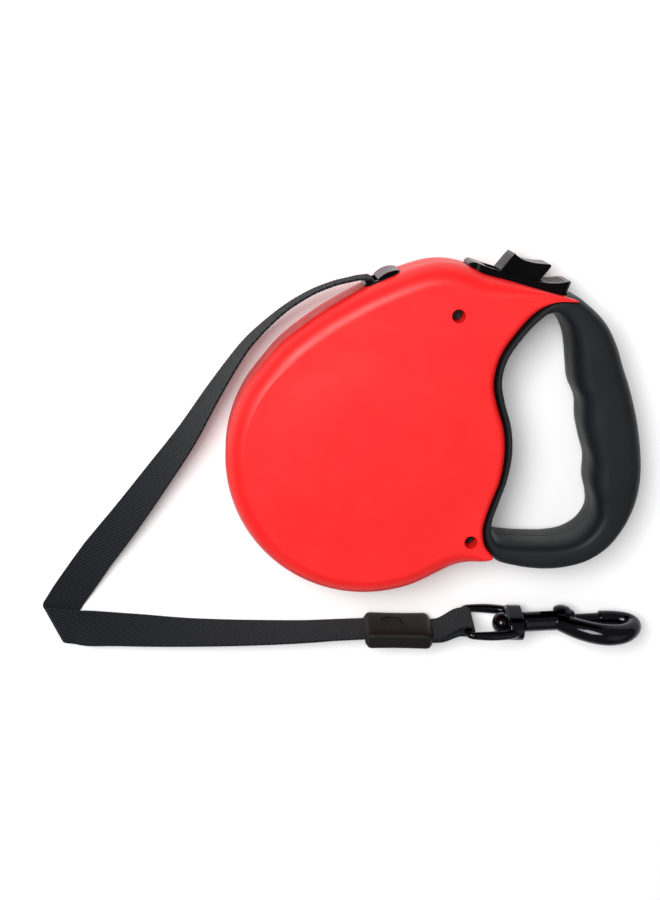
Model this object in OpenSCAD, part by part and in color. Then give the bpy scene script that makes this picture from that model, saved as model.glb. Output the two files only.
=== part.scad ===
/* [Case] */
// Radius of the round reel housing
disc_r = 57; // [55:0.5:60]
// Thickness of the case over both faces
case_t = 36; // [36:0.5:40]
// Width of the soft shoulder around the free edge
shoulder_w = 8.5; // [6:0.5:9]
// Depth of the soft shoulder around the free edge
shoulder_h = 10; // [8:0.5:10]
// Thickness of the grip ring at the handle
grip_t = 30; // [28:0.5:31]

/* [Tape] */
// Width of the webbing
tape_w = 15; // [15:0.1:15.4]
// Thickness of the webbing
tape_t = 1.1; // [0.9:0.1:1.2]
// Outside radius of the wound tape on the reel
wound_r = 45; // [30:0.5:45]

/* [Reel] */
// Radius of the reel flanges
flange_r = 49.5; // [48:0.5:49.5]
// Radius of the drum that the tape is wound on
drum_r = 20; // [18:0.5:20]
// Number of brake teeth around the front flange
teeth = 24; // [12:12:24]
// Radius of the fixed axle
axle_r = 5.05; // [5:0.01:5.07]

/* [Clip] */
// Length of the moulded keeper
keeper_l = 28.5; // [26:1:30]
// Height of the keeper across the tape
keeper_w = 18.6; // [18:0.5:19]
// Thickness of the keeper
keeper_t = 8; // [7:0.5:8]
// Radius of the clip's barrel
barrel_r = 4.3; // [4.1:0.1:4.5]
// Radius of the sliding bolt
bolt_r = 2.4; // [2.2:0.1:2.5]

/* [Hidden] */
$fn = 64;
// Middle plane where the two halves meet
mid_z = case_t / 2;
// Height of the flat neck face, a little below the round face
neck_z = case_t - 0.8;
// Floor of the case and its ceiling
floor_z = 2.6;
roof_z = case_t - floor_z;
// Running gap between parts that turn or slide on each other
run = 0.05;

// Free edge of the case from the tail by the handle, over the top and down the left:
// x, y, share of the shoulder
top_edge = [
    [79.5, 66.6, 0.02], [70, 68.9, 0.1], [61, 71.1, 0.4], [52, 73.4, 0.8], [43.5, 75.6, 1], [36.5, 78.2, 1],
    [29, 79.5, 1], [21, 78.9, 1], [13, 76.4, 1], [5, 73, 1], [-4, 68.6, 1], [-12, 64, 1], [-20, 59, 1],
    [-28, 53, 1], [-36.5, 45.6, 1]
];
// Round part of the edge
disc_edge = [for (a = [141:9:300]) [disc_r * cos(a), disc_r * sin(a), 1]];
// Bottom edge and the side against the grip
grip_edge = [
    [36.5, -44.8, 0.95], [43, -42.4, 0.7], [49, -41.2, 0.3], [52.6, -39.2, 0.1], [49.1, -34.3, 0.2],
    [48, -27, 0.3], [50.5, -17, 0.35], [53.7, -7, 0.35], [54.8, 4, 0.35], [53.7, 14.5, 0.35],
    [50.4, 24, 0.35], [48.5, 33, 0.35], [50.4, 43.6, 0.35], [56.4, 53.6, 0.35], [63.3, 61.7, 0.3],
    [70.5, 66, 0.05]
];
// Matching points of the grip ring: outer x, y, then inner x, y
ring_stations = [
    [70, 66.6, 69, 60.3], [79, 68, 72.5, 60], [86.5, 63.6, 76, 57], [93.5, 57, 78.6, 52],
    [98.5, 48.5, 80, 46], [102, 39.5, 81, 39], [105.5, 31, 82.3, 32], [108.3, 22.5, 85.8, 24.5],
    [110.6, 14, 86.8, 16], [112.3, 5, 89, 8], [113.2, -4, 91.6, 0], [112.9, -12, 92, -9],
    [111, -20, 94, -16], [107.3, -28, 94.6, -22.5], [101.5, -36, 91.5, -28.5], [93.5, -41.8, 85.5, -32.5],
    [84, -44.8, 78, -34], [74, -45.7, 70, -34.2], [63.5, -44.5, 62, -34], [54.4, -41.8, 55.5, -33],
    [49.5, -34.5, 52.5, -29.5], [48.4, -27, 52.2, -24.5], [50.9, -17, 54.7, -15.5], [54.1, -7, 57.3, -6],
    [55.2, 4, 58.5, 4], [54.1, 14.5, 57.4, 14.5], [50.8, 24, 54.2, 24.5], [48.9, 33, 52.4, 33.5],
    [50.8, 43.5, 54.2, 42.3], [56.8, 53.4, 59.7, 51.2], [63.7, 61.5, 65.2, 57.5]
];

function pick(list, i) = list[(i + len(list)) % len(list)];
function spline(a, b, c, d, t) =
    0.5 * (2 * b + (c - a) * t + (2 * a - 5 * b + 4 * c - d) * t * t + (3 * b - a - 3 * c + d) * t * t * t);
function smooth_loop(list, k) = [
    for (i = [0:len(list) - 1], j = [0:k - 1])
        spline(pick(list, i - 1), pick(list, i), pick(list, i + 1), pick(list, i + 2), j / k)
];
function smooth_run(list, k) = [
    for (i = [0:len(list) - 2], j = [0:k - 1])
        spline(list[max(i - 1, 0)], list[i], list[i + 1], list[min(i + 2, len(list) - 1)], j / k),
    list[len(list) - 1]
];
function unit(v) = v / norm(v);
// Side faces between rings of equal count, the last ring joined to the first when closed
function side_faces(rings, n, closed) = [
    for (k = [0:rings - (closed ? 1 : 2)], i = [0:n - 1])
        let (a = k * n + i, b = k * n + (i + 1) % n, up = closed && k == rings - 1 ? -k * n : n)
        each [[a, b, b + up], [a, b + up, a + up]]
];
// Triangles across a ring, always along the shorter rung
function rungs(p, l, r) =
    r - l < 2 ? [] :
    norm(p[l + 1] - p[r]) < norm(p[l] - p[r - 1])
        ? concat([[l, l + 1, r]], rungs(p, l + 1, r))
        : concat([[l, r - 1, r]], rungs(p, l, r - 1));

// ---- case shells ----
case_loop = smooth_loop(concat(top_edge, disc_edge, grip_edge), 2);
case_n = len(case_loop);
case_in = [
    for (i = [0:case_n - 1])
        let (d = pick(case_loop, i + 1) - pick(case_loop, i - 1))
        unit([-d[1], d[0]])
];
// Levels of the half shell: inset share, drop share, extra inset at the parting line
shell_levels = concat([[0, -1, 0.3], [0, -1, 0]], [for (a = [0:22.5:90]) [1 - cos(a), 1 - sin(a), 0]]);

function shell_ring(level, at) = [
    for (i = [0:case_n - 1])
        let (f = case_loop[i][2], m = shoulder_w * f * level[0] + level[2])
        [
            case_loop[i][0] + case_in[i][0] * m, case_loop[i][1] + case_in[i][1] * m,
            level[1] < 0 ? mid_z + at * 0.3 : neck_z - shoulder_h * f * level[1]
        ]
];

module shell_form() {
    rings = [for (k = [0:len(shell_levels) - 1]) each shell_ring(shell_levels[k], k)];
    cap = rungs([for (p = case_loop) [p[0], p[1]]], 0, case_n - 1);
    top = (len(shell_levels) - 1) * case_n;
    polyhedron(
        rings,
        [
            each [for (t = side_faces(len(shell_levels), case_n, false)) [t[2], t[1], t[0]]],
            each cap,
            each [for (t = cap) [t[2] + top, t[1] + top, t[0] + top]]
        ]
    );
    translate([0, 0, neck_z - 1])
        cylinder(h = case_t - neck_z + 1, r1 = 48.6, r2 = 47.9, $fn = 96);
}

// Room inside one half of the case
module half_room() {
    translate([0, 0, mid_z - 1])
        cylinder(h = 10.5, r = 54.2, $fn = 96);
    translate([0, 0, mid_z + 9.5])
        cylinder(h = roof_z - mid_z - 9.5, r1 = 54.2, r2 = 48, $fn = 96);
    translate([0, 0, mid_z - 1])
        linear_extrude(12.5)
            polygon([
                [-24, 49], [-12, 60.2], [-2, 66], [8, 70.8], [20, 75.4], [29, 76.2], [36, 74.8], [44, 72.4],
                [60, 68.3], [61.4, 65], [61.2, 63], [54.6, 55.2], [48.3, 44.8], [46.3, 38], [46.3, 28],
                    [20, 20]
            ]);
    translate([0, 0, mid_z + 11.4])
        linear_extrude(roof_z - mid_z - 12.2)
            polygon([
                [-18, 47], [-8, 56.5], [2, 62], [12, 67], [21, 70.5], [29, 71.2], [36, 69.6], [55, 64.8],
                [53, 58], [47.6, 49], [45, 40], [43, 28], [20, 20]
            ]);
}

// ---- button frame: u along the slope towards the handle, v outward, z across the case ----
module on_slope() {
    translate([60, 71.46, 0])
        rotate([0, 0, -13.4])
            children();
}

module slab(u0, u1, v0, v1, z0, z1) {
    translate([u0, v0, z0])
        cube([u1 - u0, v1 - v0, z1 - z0]);
}

module stadium(w, h, r) {
    for (x = [-1, 1], y = [-1, 1])
        translate([x * (w / 2 - r), y * (h / 2 - r)])
            circle(r = r);
    square([w, h - 2 * r], center = true);
    square([w - 2 * r, h], center = true);
}

// ---- guide frame: t along the wall, n outward ----
module on_guide() {
    translate([3.7, 71.6, 0])
        rotate([0, 0, 24])
            children();
}

screw_spots = [[32.4, 59.6], [43, -32.5]];
well_r = 2.5;

// Rounded plans across the case, raised along the outward direction: gap all round, from v0 to v1
module rounded_plan(u, w, h, r, gap, v0, v1) {
    translate([u, v0, mid_z])
        rotate([-90, 0, 0])
            linear_extrude(v1 - v0)
                stadium(w + 2 * gap, h + 2 * gap, r + gap);
}

module bezel_plan(gap, v0, v1) {
    rounded_plan(-3.45, 41.9, 19.9, 5, gap, v0, v1);
}

module guide_plan(gap, v0, v1) {
    rounded_plan(-0.55, 15.4, 19.4, 4, gap, v0, v1);
}

module shell_cuts() {
    on_slope() {
        bezel_plan(0.1, -1.2, 9);
        slab(-22.4, 7.8, -6.9, 0, 9.1, 26.9);
        slab(-16.2, -5.6, -12.4, -4.8, mid_z, 30.9);
    }
    on_guide() {
        slab(-6, 5.4, -7, 3, 9.1, 26.9);
        guide_plan(0.05, -0.6, 4);
        slab(-8, -4.6, -1.4, 0, 9.8, 26.2);
    }
}

module latch_ledge() {
    on_slope() {
        slab(-26, -20.4, -5, -3.35, 10, 26);
        slab(-26, -22.8, -5, -2, 10, 26);
    }
}

module front_shell() {
    color([0.85, 0.07, 0.06])
        difference() {
            union() {
                difference() {
                    shell_form();
                    half_room();
                    shell_cuts();
                }
                translate([0, 0, 31.95])
                    cylinder(h = 3, r = 8.4);
                for (s = screw_spots)
                    translate([s[0], s[1], mid_z])
                        cylinder(h = 16, r = 4);
                intersection() {
                    latch_ledge();
                    slab(0, 60, 60, 90, mid_z, case_t);
                }
                for (u = [-18.6, -9.4])
                    on_slope()
                        translate([u, -24, 26.9])
                            cylinder(h = 6.6, r = 1.6);
            }
            translate([0, 0, 31])
                cylinder(h = 3.7, r = 4.05);
            for (s = screw_spots)
                translate([s[0], s[1], 0]) {
                    cylinder(h = 40, r = 1.6);
                    translate([0, 0, 26])
                        cylinder(h = 12, r = well_r);
                }
        }
}

module back_shell() {
    color([0.85, 0.07, 0.06])
        difference() {
            union() {
                difference() {
                    translate([0, 0, case_t])
                        mirror([0, 0, 1])
                            union() {
                                difference() {
                                    shell_form();
                                    half_room();
                                }
                            }
                    shell_cuts();
                }
                for (s = screw_spots)
                    translate([s[0], s[1], 2])
                        cylinder(h = mid_z - 2, r = 4);
                intersection() {
                    latch_ledge();
                    slab(0, 60, 60, 90, 0, mid_z);
                }
                on_slope() {
                    slab(-11, -3, -22, -20.2, 2, 23);
                    slab(-7.8, -6.2, -26, -22, 2, 16);
                }
            }
            translate([0, 0, 1.35])
                cylinder(h = 3, r = 4.05);
            for (s = screw_spots)
                translate([s[0], s[1], 5.5])
                    cylinder(h = 20, r = 1.55);
        }
}

module case_screws() {
    color([0.5, 0.5, 0.52])
        for (s = screw_spots)
            translate([s[0], s[1], 0])
                difference() {
                    union() {
                        translate([0, 0, 6])
                            cylinder(h = 20.5, r = 1.5);
                        translate([0, 0, 26])
                            cylinder(h = 2.2, r1 = 2.4, r2 = 2.1);
                    }
                    for (a = [0, 90])
                        rotate([0, 0, a])
                            slab(-1.5, 1.5, -0.3, 0.3, 27.2, 29);
                }
}

// ---- grip ----
ring_loop = smooth_loop(ring_stations, 3);
ring_n = len(ring_loop);
// Half section of a grip: a soft-cornered arch outside and a smaller one inside
arch = [for (a = [0:20:180]) [cos(a), sin(a)]];

function arch_point(s, a, inset, h, low) =
    let (
        o = [s[0], s[1]], q = [s[2], s[3]], c = (o + q) / 2, half = norm(o - q) / 2,
        w = max(half - inset, 0.3), e = sign(a[0]) * pow(abs(a[0]), 0.6),
        p = c + unit(o - q) * w * e
    )
    [p[0], p[1], mid_z + low + (h - inset - low) * pow(a[1], 0.6)];

// A ring with an arch section over the stations given, hollow below when depth is set
module arch_ring(from, to, closed, inset, depth, low) {
    section = [
        for (k = [from:to])
            let (s = pick(ring_loop, k), h = grip_t / 2)
            concat(
                [for (a = arch) arch_point(s, a, inset, h, low)],
                depth > 0
                    ? [for (i = [len(arch) - 1:-1:0]) arch_point(s, arch[i], inset + depth, h, low)]
                    : []
            )
    ];
    n = len(section[0]);
    count = len(section);
    flip = [for (t = side_faces(count, n, closed)) [t[2], t[1], t[0]]];
    polyhedron(
        [for (r = section) each r],
        closed ? flip : concat(
            flip,
            [for (i = [1:n - 2]) [0, i, i + 1]],
            [for (i = [1:n - 2]) [0, i + 1, i] + [1, 1, 1] * (count - 1) * n]
        )
    );
}

// Half of the grip, cut back where it meets the case and the bezel
module grip_half() {
    difference() {
        arch_ring(0, ring_n - 1, true, 0, 2.6, 0);
        translate([0, 0, mid_z - 1])
            linear_extrude(mid_z)
                polygon([for (i = [0:case_n - 1]) [case_loop[i][0], case_loop[i][1]] - case_in[i] * 0.06]);
        on_slope()
            bezel_plan(0.1, -1.2, 9);
    }
}

module grip_front() {
    color([0.09, 0.1, 0.11])
        grip_half();
}

module grip_back() {
    color([0.09, 0.1, 0.11])
        translate([0, 0, case_t])
            mirror([0, 0, 1])
                grip_half();
}

// Hard core inside the grip, from the top of the handle round to its foot
module handle_core() {
    color([0.6, 0.05, 0.05])
        for (m = [0, 1])
            translate([0, 0, m * case_t])
                mirror([0, 0, m])
                    arch_ring(7, 52, false, 2.75, 0, 0);
}

// ---- guide and button ----
lip_t = -6.4;
lip_r = 1.5;

module tape_guide() {
    color([0.05, 0.05, 0.055])
        on_guide()
            difference() {
                union() {
                    guide_plan(0, -0.55, 1.15);
                    intersection() {
                        guide_plan(-0.5, 0, 4);
                        slab(-2.3, 8, 0, 4, 8, 28);
                        translate([2.2, -7.4, 8])
                            cylinder(h = 20, r = 10);
                    }
                    slab(-5.95, 5.35, -5, -0.5, 9.15, 26.85);
                    translate([lip_t, 0.4, mid_z - 7.2])
                        cylinder(h = 14.4, r = lip_r);
                }
                slab(lip_t + lip_r + 0.03, -2.3, -6, 3, 10.2, 25.8);
                slab(-2.4, 4.2, -6, -0.5, 10.2, 25.8);
                translate([-2.3, 1.3, 10.2])
                    cylinder(h = 15.6, r = 0.7);
            }
}

module button_bezel() {
    color([0.04, 0.04, 0.045])
        on_slope()
            difference() {
                intersection() {
                    translate([0, 0, 7])
                        linear_extrude(22)
                            polygon([
                                [-24.4, -1.1], [15.4, -1.1], [17.5, 5.3], [16.4, 5.9], [11, 3.9], [6, 2.9],
                                [-2, 2.7], [-14, 2.7], [-19, 3], [-22.6, 3.2], [-24.3, 2.2]
                            ]);
                    bezel_plan(0, -2, 8);
                }
                slab(-17.6, 6.6, -2, 8, 10.1, 25.9);
                for (u = [8:1.2:15])
                    slab(u, u + 0.5, 2.85 + (u - 8) * 0.32, 8, 11, 25);
            }
}

module thumb_button() {
    color([0.04, 0.04, 0.045])
        on_slope()
            difference() {
                union() {
                    translate([0, 0, 10.5])
                        linear_extrude(15)
                            polygon([
                                [-11.5, -2], [4.7, -2], [4.7, 3.2], [7.4, 9.4], [6.6, 10.1], [3, 9.4],
                                [-1, 9], [-4.6, 9.2], [-7.2, 10.1], [-8.3, 10], [-11.5, 3]
                            ]);
                    slab(-18, 7.4, -3, -1.8, 9.4, 26.6);
                }
                slab(-6, 2.9, -4, 1.2, 16.4, 19.6);
                slab(-6, 2.9, 1, 3.5, 14.4, 21.6);
                for (z = [11.6:3.03:24])
                    translate([-11.5, 3, z])
                        rotate([0, 0, 65.4])
                            translate([0.8, -0.4, 0])
                                cube([6.2, 1.6, 0.7]);
            }
}

module brake_pawl() {
    color([0.75, 0.76, 0.78])
        on_slope() {
            slab(-12, 0, -8.5, -3.6, 11, 25);
            slab(-5.6, -1.6, -4, 1.4, 16.8, 19.2);
            slab(-5.6, -1.6, 1.3, 3.2, 14.8, 21.2);
            slab(-15.8, -6, -8.5, -5.2, 24.5, 30.5);
            translate([0, 0, 27.75])
                linear_extrude(2.75)
                    polygon([
                        [-15.8, -6], [-15.8, -40.2], [-14.8, -41.4],
                        [-13.2, -41.4], [-12.2, -40.2], [-12.2, -6]
                    ]);
        }
}

// Round wire swept along a helix: coil radius, wire radius, length, turns, sides
module coil(r, wire, length, turns, sides) {
    steps = turns * 12;
    rise = length - 2 * wire;
    polyhedron(
        [
            for (k = [0:steps])
                let (a = k * 30, z = wire + rise * k / steps)
                for (j = [0:sides - 1])
                    let (b = j * 360 / sides, q = r + wire * cos(b))
                    [q * cos(a), q * sin(a), z + wire * sin(b)]
        ],
        [
            each side_faces(steps + 1, sides, false),
            each [for (i = [1:sides - 2]) [0, i + 1, i]],
            each [for (i = [1:sides - 2]) [0, i, i + 1] + [1, 1, 1] * steps * sides]
        ]
    );
}

module brake_spring() {
    color([0.7, 0.7, 0.72])
        on_slope()
            translate([-7, -8.6, mid_z])
                rotate([90, 0, 0])
                    coil(3.2, 0.4, 11.5, 6, 6);
}

// ---- reel ----
hub_z0 = 8.95;
hub_z1 = 31.3;

module axle() {
    color([0.6, 0.61, 0.63])
        difference() {
            union() {
                translate([0, 0, 1.45])
                    cylinder(h = 33.2, r = 4);
                translate([0, 0, 3])
                    cylinder(h = 5.2, r = 6.5);
                translate([0, 0, 8])
                    cylinder(h = 23.9, r = axle_r);
            }
            slab(0, 8, -0.7, 0.7, 3.4, 8.1);
        }
}

module thrust_washers() {
    color([0.93, 0.92, 0.88])
        for (z = [8.22, 31.35])
            translate([0, 0, z])
                difference() {
                    cylinder(h = z > 20 ? 0.55 : 0.68, r = 8.2);
                    translate([0, 0, -1])
                        cylinder(h = 3, r = axle_r + 0.1);
                }
}

module brake_teeth() {
    pitch = 360 / teeth;
    tip_r = flange_r - 0.3;
    linear_extrude(3.2)
        difference() {
            polygon([
                for (i = [0:teeth - 1],
                    c = [[-4.9, 44], [-2.7, 44], [-1.7, tip_r], [1.7, tip_r], [2.7, 44], [4.9, 44]])
                    let (a = 49 + i * pitch + c[0])
                    [c[1] * cos(a), c[1] * sin(a)]
            ]);
            circle(r = 40);
        }
}

module reel_drum() {
    color([0.88, 0.86, 0.8])
        difference() {
            union() {
                translate([0, 0, hub_z0])
                    cylinder(h = hub_z1 - hub_z0, r = 8.5);
                translate([0, 0, 8.95])
                    cylinder(h = 1.2, r = flange_r, $fn = 96);
                translate([0, 0, 25.85])
                    cylinder(h = 1.5, r = flange_r, $fn = 96);
                translate([0, 0, 27.35])
                    brake_teeth();
                translate([0, 0, 3.45])
                    difference() {
                        cylinder(h = 5.6, r = 42, $fn = 96);
                        translate([0, 0, -1])
                            cylinder(h = 8, r = 40.2, $fn = 96);
                    }
                difference() {
                    translate([0, 0, 10])
                        cylinder(h = 16, r = drum_r);
                    translate([0, 0, 9])
                        cylinder(h = 18, r = drum_r - 2);
                }
                for (a = [30:60:330])
                    rotate([0, 0, a])
                        slab(7, drum_r - 1, -0.8, 0.8, 10, 26);
                slab(drum_r - 6.5, drum_r - 1, -3, 3, 10, 26);
            }
            for (a = [0:60:300])
                rotate([0, 0, a])
                    translate([11.2, 0, 25])
                        cylinder(h = 3, r = 2);
            translate([0, 0, 0])
                cylinder(h = 40, r = axle_r + run);
            translate([drum_r - 3.6, 0, 10.2])
                cylinder(h = 15.6, r = 1.3);
            slab(drum_r - 3.6, drum_r + 2, -0.8, 0.8, 10.2, 25.8);
        }
}

module spring_cover() {
    color([0.72, 0.73, 0.75])
        translate([0, 0, 2.9])
            difference() {
                cylinder(h = 0.5, r = 41.8, $fn = 96);
                translate([0, 0, -1])
                    cylinder(h = 2, r = 10);
                for (a = [0:45:315])
                    rotate([0, 0, a])
                        translate([26, 0, -1])
                            cylinder(h = 2, r = 4);
            }
}

// Flat clock spring: open turns at the middle, closer ones at the rim
spring_turns = 9;
function spring_at(t, off) =
    let (r = 7.1 + 32.3 * pow(t, 0.7) + off, a = t * spring_turns * 360)
    [r * cos(a), r * sin(a)];

module power_spring() {
    steps = spring_turns * 20;
    color([0.55, 0.56, 0.6])
        translate([0, 0, 3.8])
            linear_extrude(4.2)
                polygon(concat(
                    [[7, 0.22], [5, 0.22], [5, -0.22], [7.5, -0.22]],
                    [for (i = [1:steps]) spring_at(i / steps, 0.45)],
                    [for (i = [steps:-1:1]) spring_at(i / steps, 0)]
                ));
}

module tape_winding() {
    layers = 16;
    step = (wound_r - drum_r - 0.3) / layers;
    color([0.09, 0.09, 0.1])
        rotate_extrude($fn = 72)
            polygon(concat(
                [for (i = [0:layers - 1], c = [[0, 0.35], [0.5, 0]])
                    [drum_r + 0.3 + (i + c[0]) * step, 10.45 + c[1]]],
                [[wound_r, 10.8], [wound_r, 25.2]],
                [for (i = [layers - 1:-1:0], c = [[0.5, 0], [0, 0.35]])
                    [drum_r + 0.3 + (i + c[0]) * step, 25.55 - c[1]]]
            ));
}

module tape_anchor_pin() {
    color([0.7, 0.7, 0.72])
        translate([drum_r - 3.6, 0, 10.3])
            cylinder(h = 15.4, r = 1.25);
}

// ---- webbing ----
// The webbing turns over the guide's lip, so its inner run is the tangent from the wound tape to that lip
lip = [3.7 + lip_t * cos(24) - 0.4 * sin(24), 71.6 + lip_t * sin(24) + 0.4 * cos(24)];
lip_off = lip_r + 0.3 + tape_t / 2;
coil_off = wound_r + 0.3 + tape_t / 2;
// Both circles lie left of the line, so it leaves them at the same angle
lip_far = norm(lip);
exit_a = atan2(lip[1], lip[0]) - acos((coil_off - lip_off) / lip_far);
out_dir = [-sin(exit_a), cos(exit_a)];
out_at = lip + lip_off * [cos(exit_a), sin(exit_a)];

module tape_inner_run() {
    color([0.09, 0.09, 0.1])
        translate([out_at[0], out_at[1], mid_z - tape_w / 2])
            rotate([0, 0, exit_a + 90])
                slab(-sqrt(lip_far * lip_far - pow(coil_off - lip_off, 2)), 0, -tape_t / 2, tape_t / 2,
                    0, tape_w);
}

// End frame: x along the clip, y through the webbing, z across it, leaning a little back
end_at = [0, -80, 10.8];
end_lean = 14;
eye_y = 4.9;
bar_x = 47.4;
bar_r = 1.6;
clip_droop = 6;
swivel_x = 68;
function to_row(p) = end_at + [p[0], p[1] * cos(end_lean) - p[2] * sin(end_lean),
    p[1] * sin(end_lean) + p[2] * cos(end_lean)];

module at_end() {
    translate(end_at)
        rotate([end_lean, 0, 0])
            children();
}

// Flat fold: where the middle of the webbing crosses the crease, the way it comes and the crease's way
fold_at = [-127.8, -79.6];
fold_in = unit([-0.5, -0.866]);
crease = unit([0.46, -0.888]);
fold_r = 1.6;
fold_n = [crease[1], -crease[0]];
low_z = 0.65;

// Free run as far as the fold: x, y, z of the middle, turn of the width from level
run_a = [
    [-6, 71.3, 18, 92], [-9.5, 70.4, 18, 92.5], [-15, 68.9, 18, 92.5], [-22.3, 65.9, 17.8, 92],
    [-28, 62.6, 17.4, 91], [-33.6, 58.7, 17, 90], [-39.2, 53.8, 16.3, 88], [-44.8, 48.1, 15.5, 85],
    [-50.1, 41.8, 14.6, 81.5], [-56.4, 32.1, 13.2, 76], [-63.6, 19.9, 11.6, 68.5], [-73, 3.2, 9.6, 57.5],
    [-84.2, -13.9, 7.6, 46.5], [-97.3, -33.2, 5.6, 34], [-109.8, -50.6, 3.4, 20]
];
// After the fold, towards the keeper
run_b = [
    [-114, -83.2, 4.6, 162], [-109, -83, 5.5, 148], [-103, -82.9, 6, 139.5], [-90, -83.1, 6.6, 132],
    [-74, -83.4, 7.2, 122.5], [-56, -83.3, 7.6, 116.5], [-38, -82.8, 8, 112], [-22, -82, 8.5, 107.5],
        [-9, -80.8, 9.2, 105]
];

// Points across one ring of the webbing: share of the half width, side
across = [[-1, -1], [-0.5, -1], [0, -1], [0.5, -1], [1, -1], [1, 1], [0.5, 1], [0, 1], [-0.5, 1], [-1, 1]];

function ring_at(c, w, n) = [for (q = across) c + w * q[0] * tape_w / 2 + n * q[1] * tape_t / 2];
// Width of the webbing at a turn from level, for a heading
function width_at(d, turn) =
    let (l = unit([-d[1], d[0], 0]), u = cross(unit(d), l))
    cos(turn) * l + sin(turn) * u;

function free_rings(list) = [
    for (i = [0:len(list) - 1])
        let (
            d = list[min(i + 1, len(list) - 1)] - list[max(i - 1, 0)], t = unit([d[0], d[1], d[2]]),
            w = width_at(t, list[i][3])
        )
        ring_at([list[i][0], list[i][1], list[i][2]], w, cross(t, w))
];

// A point of the flat webbing, carried round the crease
function round_fold(p, up) =
    let (
        d = (p - fold_at) * fold_n, s = (p - fold_at) * crease, len_turn = PI * fold_r,
        a = max(0, min(180, d / fold_r * 180 / PI)), rr = fold_r - up,
        g = (d < 0 ? d : 0) - (d > len_turn ? d - len_turn : 0) + rr * sin(a),
        xy = fold_at + crease * s + fold_n * g
    )
    [xy[0], xy[1], low_z + fold_r - rr * cos(a)];

function fold_rings(from, to, step) =
    let (w = [fold_in[1], -fold_in[0]])
    [
        for (s = [from:step:to])
            [for (q = across) round_fold(fold_at + fold_in * s - w * q[0] * tape_w / 2, q[1] * tape_t / 2)]
    ];

// Inside the keeper and round the eye's bar: middle points in the end frame
strand = tape_t / 2 + 0.12;
wrap_r = bar_r + 0.3 + tape_t / 2;
run_end = [
    each [for (x = [4, 12, 21, 33.4]) [x, strand]],
    [37.5, strand + 1.3], [42.5, eye_y + 0.9],
    each [for (a = [120:-30:-120]) [bar_x + wrap_r * cos(a), eye_y + wrap_r * sin(a)]],
    [43.2, eye_y - 2.3], [38, 0], [33.4, -strand], [21, -strand], [10, -strand]
];

function end_rings(list) = [
    for (i = [0:len(list) - 1])
        let (
            d = unit(list[min(i + 1, len(list) - 1)] - list[max(i - 1, 0)]),
            c = to_row([list[i][0], list[i][1], 0]), w = to_row([0, 0, 1]) - end_at,
            t = to_row([d[0], d[1], 0]) - end_at
        )
        ring_at(c, w, cross(t, w))
];

module tape() {
    start = [
        for (a = [exit_a + 12:12:85])
            [lip[0] + lip_off * cos(a), lip[1] + lip_off * sin(a), mid_z, 90]
    ];
    rings = concat(
        [ring_at([out_at[0], out_at[1], mid_z], [0, 0, 1], [cos(exit_a), sin(exit_a), 0])],
        free_rings(concat(start, smooth_run(run_a, 2))),
        fold_rings(-11, 14, 1.25),
        free_rings(smooth_run(run_b, 2)),
        end_rings(run_end)
    );
    n = len(across);
    color([0.09, 0.09, 0.1])
        polyhedron(
            [for (r = rings) each r],
            concat(
                [for (f = side_faces(len(rings), n, false)) [f[2], f[1], f[0]]],
                [for (i = [0:n / 2 - 2], t = [[i, i + 1, n - 2 - i], [i, n - 2 - i, n - 1 - i]]) t],
                [
                    for (i = [0:n / 2 - 2], t = [[i, i + 1, n - 2 - i], [i, n - 2 - i, n - 1 - i]])
                        [t[2], t[1], t[0]] + [1, 1, 1] * (len(rings) - 1) * n
                ]
            )
        );
}

// ---- keeper and clip ----
module keeper() {
    r = 2.5;
    color([0.06, 0.06, 0.065])
        at_end()
            translate([4, 0, 0])
                difference() {
                    intersection() {
                        rotate([90, 0, 90])
                            linear_extrude(keeper_l)
                                stadium(keeper_t, keeper_w, r);
                        translate([keeper_l / 2, keeper_t, 0])
                            rotate([90, 0, 0])
                                linear_extrude(2 * keeper_t)
                                    stadium(keeper_l, keeper_w, r);
                    }
                    slab(-1, keeper_l + 1, -1.6, 1.6, -tape_w / 2 - 0.25, tape_w / 2 + 0.25);
                    translate([keeper_l / 2 - 3, keeper_t / 2 - 0.4, 0])
                        rotate([-90, 0, 0])
                            difference() {
                                cylinder(h = 2, r = 5.2);
                                translate([0, 0, -1])
                                    cylinder(h = 4, r = 4.3);
                            }
                }
}

// A round-section bar swept through points: x, z, radius; closed into a loop when set
module swept_bar(list, closed, sides) {
    n = len(list);
    rings = [
        for (i = [0:n - 1])
            let (
                d = closed
                    ? pick(list, i + 1) - pick(list, i - 1)
                    : list[min(i + 1, n - 1)] - list[max(i - 1, 0)],
                t = unit([d[0], d[1]]), r = list[i][2]
            )
            for (j = [0:sides - 1])
                let (b = (j + 0.5) * 360 / sides)
                [list[i][0] - t[1] * r * cos(b), r * sin(b), list[i][1] + t[0] * r * cos(b)]
    ];
    polyhedron(
        rings,
        closed ? side_faces(n, sides, true) : concat(
            side_faces(n, sides, false),
            [for (i = [1:sides - 2]) [0, i + 1, i]],
            [for (i = [1:sides - 2]) [0, i, i + 1] + [1, 1, 1] * (n - 1) * sides]
        )
    );
}

eye_half = 10.3;
eye_corner = 2;
side_r = 2;
eye_loop = concat(
    [[bar_x, -5, bar_r], [bar_x, 0, bar_r], [bar_x, 5, bar_r]],
    [for (a = [180:-22.5:90]) [bar_x + eye_corner + eye_corner * cos(a),
        eye_half - eye_corner + eye_corner * sin(a), bar_r]],
    [[57, eye_half, side_r], [65, eye_half - 1.2, side_r], [68.6, 6.6, side_r], [68.8, 0, side_r],
        [68.6, -6.6, side_r]],
    [[65, 1.2 - eye_half, side_r], [57, -eye_half, side_r]],
    [for (a = [270:-22.5:180]) [bar_x + eye_corner + eye_corner * cos(a),
        eye_corner - eye_half + eye_corner * sin(a), bar_r]]
);

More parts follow.
